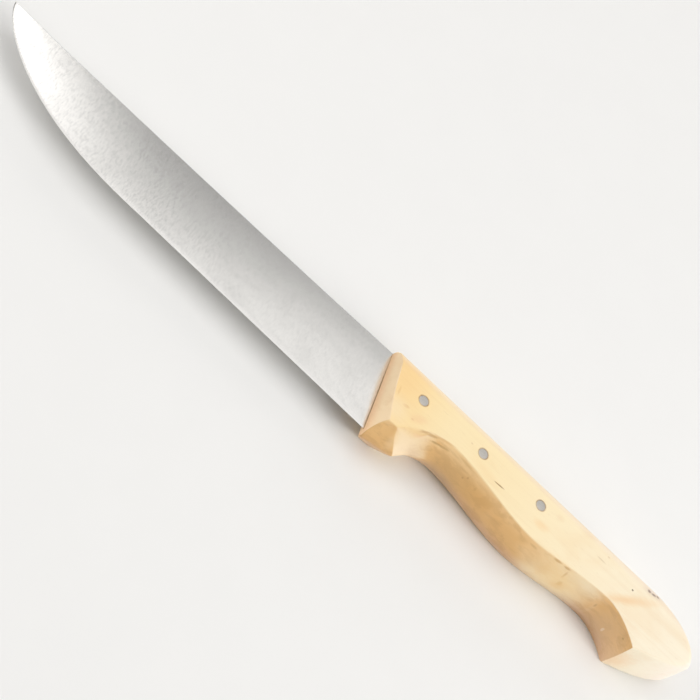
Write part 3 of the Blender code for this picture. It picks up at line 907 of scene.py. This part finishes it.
def handleLoop(across, stretches):
    points, middle, ends = [], [], {}
    for name, steps, spread, curve in stretches:
        ends[name] = (len(points), len(points) + steps)
        points += [curve(spread(step / steps), across) for step in range(steps)]
        middle += [curve(spread(step / steps), 0.0) for step in range(steps)]
    hook, rear = ends["buttLow"][0], ends["buttHigh"][0]
    untangle(points, middle, hook, ends["buttHigh"][1] - 1, handleShape["bendStep"])
    # arris: the edges of the side faces fall in along a small round, and their corners ease a little more
    fall = rounded(across, handleShape["arris"])
    for corner, extra in (("front", 0.0), ("guard", fall * handleShape["cornerFall"]), ("scoop", fall)):
        easeCorner(points, ends[corner][0], handleShape["cornerEase"] + extra)
    easeCorner(points, hook, handleShape["hookEase"] + fall)
    if fall > 0:
        moved = []
        for i, point in enumerate(points):
            weight = min(1.0, i / handleShape["fadeIn"], max(0.0, 1 - (i - hook) / handleShape["fadeOut"]))
            if i >= rear:
                weight = 0.0
            along = (points[(i + 1) % len(points)] - points[i - 1]).normalized()
            moved.append(point + Vector((-along.y, along.x)) * fall * weight)
        untangle(moved, points, ends["hook"][0], ends["buttLow"][1] - 1, handleShape["cornerStep"])
        points = moved
    return points, ends


def handleLayers():
    radius, flatSteps, roundSteps = (handleShape[k] for k in ("spineRounding", "flatSteps", "roundSteps"))
    flat = half - radius
    side = [flat * step / flatSteps for step in range(1, flatSteps + 1)]
    side += [flat + radius * math.sin(turn) for turn in quarterTurn(roundSteps)[1:]]
    return [-across for across in reversed(side)] + [0.0] + side


def fillSide(bm, ring, ends, flip):
    # patch of quads between the underside and the spine, with the front and the lower butt as its ends
    low = ring[ends["guard"][0]:ends["buttLow"][0] + 1]
    rear = ring[ends["buttLow"][0]:ends["buttLow"][1] + 1]
    top = (ring[ends["buttHigh"][0]:] + ring[:1])[::-1]
    front = ring[:ends["front"][1] + 1][::-1]
    columns, rows = len(low) - 1, len(front) - 1

    def shares(chain):
        reach = [0.0]
        for a, b in zip(chain, chain[1:]):
            reach.append(reach[-1] + (b.co - a.co).length)
        return [r / reach[-1] for r in reach]

    lowShares, topShares, frontShares, rearShares = map(shares, (low, top, front, rear))
    grid = [front]
    for column in range(1, columns):
        u = (lowShares[column] + topShares[column]) / 2
        line = [low[column]]
        for row in range(1, rows):
            v = lerp(frontShares[row], rearShares[row], u)
            point = (low[column].co.lerp(top[column].co, v)
                     + (1 - u) ** 2 * (front[row].co - front[0].co.lerp(front[-1].co, frontShares[row]))
                     + u ** 2 * (rear[row].co - rear[0].co.lerp(rear[-1].co, rearShares[row])))
            line.append(bm.verts.new(point))
        grid.append(line + [top[column]])
    grid.append(rear)
    for column in range(columns):
        for row in range(rows):
            quad = [grid[column][row], grid[column + 1][row], grid[column + 1][row + 1], grid[column][row + 1]]
            bm.faces.new(quad[::-1] if flip else quad)
    inner = [vertex for line in grid[round(columns * handleShape["relaxFrom"]):-1] for vertex in line[1:-1]]
    for _ in range(handleShape["relaxing"]):
        bmesh.ops.smooth_vert(bm, verts=inner, factor=0.5, use_axis_x=True, use_axis_y=True)


def unevenness(point):  # 0 to 1, slow waves left by hand sanding
    spread = point / handleShape["waveLength"]
    spread.x *= handleShape["waveSpread"]
    return 0.5 + 0.5 * max(-1.0, min(1.0, noise.noise(spread)))


# Small hollows in the surface, in millimetres: place, reach along the grain and across it, depth
woodDents = (
    ((41.6, -3.3, 16.1), (3.4, 0.6, 0.18)),
    ((129.6, -6.5, 7.7), (0.8, 1.1, 0.25)),
    ((105.9, -6.9, 10.3), (1, 0.8, 0.1)),
)
dentReach = 1.5  # in reaches along the grain, past which a dent is nil
dentSteepness = 1.6

# Real hollows, in millimetres: place, half sizes and turn about Z of three pits near the butt, gouge and pinhole
woodPits = (
    ((134.4, 12.7, 17.7), (0.7, 0.62, 0.45), 60),
    ((136.6, 12.9, 17.6), (0.95, 0.44, 0.42), 20),
    ((138.5, 13.8, 17.2), (0.6, 0.56, 0.45), 40),
    ((66.5, 0.54, 18.02), (2.2, 0.22, 0.2), 3),
    ((128.3, 7.4, 18), (0.3, 0.26, 0.22), 0),
)
pitRoughness = 0.25


def dentDepth(point):
    depth = 0.0
    for centre, sizes in woodDents:
        offset, (along, across, deepest) = point - Vector(scaled(centre)), scaled(sizes)
        if offset.length < along * dentReach:
            reach = math.hypot(offset.x / along, math.hypot(offset.y, offset.z) / across)
            depth += deepest * math.exp(-reach ** 2 * dentSteepness)
    return depth


def addPit(bm, number, centre, size, turn):  # a rough ellipsoid
    turned = Matrix.Rotation(math.radians(turn), 3, "Z")
    centre, size = scaled(centre), scaled(size)
    for vertex in bmesh.ops.create_icosphere(bm, subdivisions=3, radius=1.0)["verts"]:
        rough = 1 + pitRoughness * noise.noise(vertex.co * 1.7 + Vector((number * 3.1, 0, 0)))
        sized = Vector((vertex.co[k] * size[k] * rough for k in range(3)))
        vertex.co = turned @ sized + Vector(centre)


def makeHandle():
    bm = bmesh.new()
    stretches = handleStretches()
    rings = []
    for across in handleLayers():
        points, ends = handleLoop(across, stretches)
        rings.append([bm.verts.new(place(point.x, point.y, midZ + across)) for point in points])
    margin = handleShape["endGrainMargin"]
    for lower, upper in zip(rings, rings[1:]):
        for face in bridge(bm, lower, upper)[margin:ends["front"][1] - margin]:
            face.material_index = 1
    fillSide(bm, rings[0], ends, True)
    fillSide(bm, rings[-1], ends, False)
    bmesh.ops.recalc_face_normals(bm, faces=bm.faces)
    bm.normal_update()
    depths = [handleShape["wave"] * unevenness(vertex.co) + dentDepth(vertex.co) for vertex in bm.verts]
    moves = [vertex.normal * -depth for vertex, depth in zip(bm.verts, depths)]
    for vertex, move in zip(bm.verts, moves):
        vertex.co += move
        vertex.co.z = max(handleLow.z, min(handleHigh.z, vertex.co.z))
    piece = addPiece("handleWood", bm, (boxwood, endGrain))

    # saw cut for the tang, open at the front and along the spine, and looser round the blade's heel
    gap, heelGap = handleShape["slotGap"], handleShape["kerfGap"]
    cutter = bmesh.new()
    prism(cutter, tangOutline(gap, -20 * mm, 20 * mm), halfStock + gap)
    carve(piece, cutter)
    cutter = bmesh.new()
    heelSection(cutter, -2 * mm, bladeShape["heelGap"] + bladeShape["neckLength"] + gap,
                lambda drop: lerp(gap, heelGap, min(1.0, drop / handleShape["kerfRun"])))
    carve(piece, cutter)
    cutHoles(piece, 5 * mm)
    cutter = bmesh.new()
    for number, pit in enumerate(woodPits):
        addPit(cutter, number, *pit)
    carve(piece, cutter)
    return piece


# Rivets

rivetShape = {
    "sides": 96,
    "crown": 0.03 * mm,
    "crownShares": (0.15, 0.3, 0.45, 0.6, 0.75, 0.88),  # of the radius
    "ease": 0.06 * mm,
    "easeSteps": 4,
    "crease": 40,
}


def addCircle(bm, pin, radius, z):
    centre, sides = place(pin["x"], -pin["drop"], 0), rivetShape["sides"]
    turns = [2 * math.pi * k / sides for k in range(sides)]
    rim = [Vector((radius * math.cos(turn), radius * math.sin(turn), z)) for turn in turns]
    return [bm.verts.new(centre + point) for point in rim]


def cutHoles(piece, past, angle=creaseAngle):  # round bars that run past both ends of each rivet
    bm = bmesh.new()
    for pin in rivets.values():
        radius = pin["radius"] + handleShape["holeGap"]
        low, high = (addCircle(bm, pin, radius, z) for z in (pin["low"] - past, pin["high"] + past))
        bridge(bm, low, high)
        bm.faces.new(low[::-1])
        bm.faces.new(high)
    carve(piece, bm, angle=angle)


def makeRivet(name, pin):
    radius, rise, ease, steps = pin["radius"], *(rivetShape[k] for k in ("crown", "ease", "easeSteps"))
    profile = [(radius * share, rise * (1 - share ** 2)) for share in rivetShape["crownShares"]]
    for turn in quarterTurn(steps):
        profile.append((radius - ease + ease * math.sin(turn), -ease * (1 - math.cos(turn))))
    bm = bmesh.new()
    rings = [addCircle(bm, pin, r, pin["low"] + rise - z) for r, z in profile]
    rings += [addCircle(bm, pin, r, pin["high"] - rise + z) for r, z in reversed(profile)]
    bridgeAll(bm, rings)
    for ring, z in ((rings[0], pin["low"]), (rings[-1], pin["high"])):
        fan(bm, ring, bm.verts.new(place(pin["x"], -pin["drop"], z)))
    return addPiece(name, bm, (aluminium,), rivetShape["crease"])


handle = makeHandle()
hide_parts("handle")
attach(handle, "root")
print("handle:", len(handle.data.polygons), "faces")

blade = makeBlade()
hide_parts("blade")
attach(blade, "root")
print("blade and tang:", len(blade.data.polygons), "faces")

for name, nodeName in zip(("rivetFront", "rivetMiddle", "rivetRear"), rivets):
    rivet = makeRivet(name, rivets[nodeName])
    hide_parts(nodeName)
    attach(rivet, "root")
print("rivets:", len(rivets))


# Floor, light and camera

studio = {
    "floorColour": (0.9, 0.9, 0.89),
    "floorShade": (0.8, 0.8, 0.79),  # faint unevenness
    "floorNoise": ((40, 40, 40), 2),
    "floorShadeRange": (0.3, 0.7, 0, 0.06),
    "floorSize": 6,
    "floorDrop": 0.05 * mm,
    "airColour": (1, 0.995, 0.985),
    "airTurn": (-0.7, 0.7, 0.19, 0.3),  # the room's light, weaker from the edge side than from the spine side
    "airShine": (0.35, 0.6, 0.55, 0),  # what polished steel shows of the room near the horizon
    "farColour": (0.895, 0.89, 0.875),  # what shows far from the knife, on the floor and past it
    "farFloor": (0.3, 0.7),  # distance from the knife over which the floor takes that colour on
}

# Softboxes: centre, size, brightness of their cloth, colour. Unless told otherwise they aim at the knife's middle and
# stay out of reflections, because the flat steel turns plain white where it mirrors the small bright ones.
softboxes = {
    "overheadSoftbox": {"at": (0, 0.194, 1), "size": (1.8, 1.06), "glow": 0.79, "colour": (1, 0.99, 0.985),
                        "aim": (0, 0.194, 0), "turn": 19, "mirrored": True},
    "tipSoftbox": {"at": (-0.282, 0.544, 1), "size": (0.54, 0.68), "glow": 1.7, "colour": (1, 0.99, 0.985),
                   "aim": (-0.282, 0.544, 0), "turn": 45, "mirrored": True},
    "buttSoftbox": {"at": (1.15, -0.45, 0.62), "size": (0.6, 0.6), "glow": 9.5, "colour": (1, 0.985, 0.965)},
    "frontSoftbox": {"at": (-1.1, -0.12, 0.49), "size": (0.6, 0.6), "glow": 4.8, "colour": (1, 0.985, 0.965)},
    "spineSoftbox": {"at": (0, 1.3, 0.46), "size": (1.8, 0.8), "glow": 1.1, "colour": (1, 0.96, 0.935)},
}


def addSoftbox(name, look):
    lamp = bpy.data.lights.new(name, "AREA")
    lamp.shape = "RECTANGLE"
    lamp.size, lamp.size_y = look["size"]
    lamp.energy = look["glow"] * math.pi * lamp.size * lamp.size_y
    lamp.color = look["colour"]
    piece = addObject(name, lamp)
    piece.location = look["at"]
    piece.visible_glossy = look.get("mirrored", False)
    facing = (Vector(look.get("aim", (0, 0, 0))) - Vector(look["at"])).to_track_quat("-Z", "Y")
    piece.rotation_euler = (Quaternion((0, 0, 1), math.radians(look.get("turn", 0))) @ facing).to_euler()


def makeStudio():
    material, shader, where = newMaterial("paleFloor")
    grainy = ramp(noiseAt(where, *studio["floorNoise"]), *studio["floorShadeRange"])
    colour = paint(grainy, studio["floorColour"], studio["floorShade"])
    feed(shader, {"Base Color": colour, "Roughness": 0.9, "Specular IOR Level": 0.1})
    # far from the knife the camera and the steel see one even pale colour, so that no horizon shows
    rays = source(shader, "LightPath")
    seen = maths("MAXIMUM", rays["Is Camera Ray"], rays["Is Glossy Ray"])
    far = times(ramp(vectorMaths("LENGTH", where), *studio["farFloor"]), seen)
    glow = node("Emission", {0: studio["farColour"]}, shader)
    mixed = node("MixShader", {0: far, 1: shader.outputs[0], 2: glow.outputs[0]})
    feed(material.node_tree.nodes["Material Output"], {"Surface": mixed.outputs[0]})
    bm = bmesh.new()
    bmesh.ops.create_grid(bm, x_segments=1, y_segments=1, size=studio["floorSize"] / 2)
    floor = addPiece("floor", bm, (material,))
    floor.location.z = cadLow.z - studio["floorDrop"]
    floor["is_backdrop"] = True
    for name, look in softboxes.items():
        addSoftbox(name, look)
    world = bpy.data.worlds.new("studioAir")
    world.use_nodes = True
    air = world.node_tree.nodes["Background"]
    toward = axes(source(air, "TexCoord")["Generated"])
    rays = source(air, "LightPath")
    glow = ramp(toward["Y"], *studio["airTurn"])
    shine = times(ramp(toward["Z"], *studio["airShine"]), rays["Is Glossy Ray"])
    glow = maths("MAXIMUM", maths("MAXIMUM", glow, shine), rays["Is Camera Ray"])
    colour = paint(rays["Is Camera Ray"], studio["airColour"], studio["farColour"])
    feed(air, {"Color": colour, "Strength": glow})
    bpy.context.scene.world = world


shot = {
    "lookAt": (-0.00128, 0.00665, 0.0089),
    "distance": 0.682,
    "azimuth": -13.84,
    "elevation": 48.6,
    "roll": 53.7,
    "lens": 102.86,
}


def makeCamera():
    data = bpy.data.cameras.new("photoCamera")
    data.lens = shot["lens"]
    data.clip_start, data.clip_end = 0.01, 20.0
    camera = addObject("photoCamera", data)
    around, up, roll = (math.radians(shot[k]) for k in ("azimuth", "elevation", "roll"))
    back = Vector((math.sin(around) * math.cos(up), -math.cos(around) * math.cos(up), math.sin(up)))
    right = Vector((math.cos(around), math.sin(around), 0))
    top = back.cross(right)
    axisX = math.cos(roll) * right + math.sin(roll) * top
    axisY = -math.sin(roll) * right + math.cos(roll) * top
    turn = Matrix((axisX, axisY, back)).transposed()
    camera.matrix_world = Matrix.Translation(Vector(shot["lookAt"]) + back * shot["distance"]) @ turn.to_4x4()
    bpy.context.scene.camera = camera


makeStudio()
makeCamera()
bpy.context.scene.view_settings.view_transform = "Standard"
print("studio: floor,", len(softboxes), "softboxes, camera")

bpy.context.view_layer.update()
low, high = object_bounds()
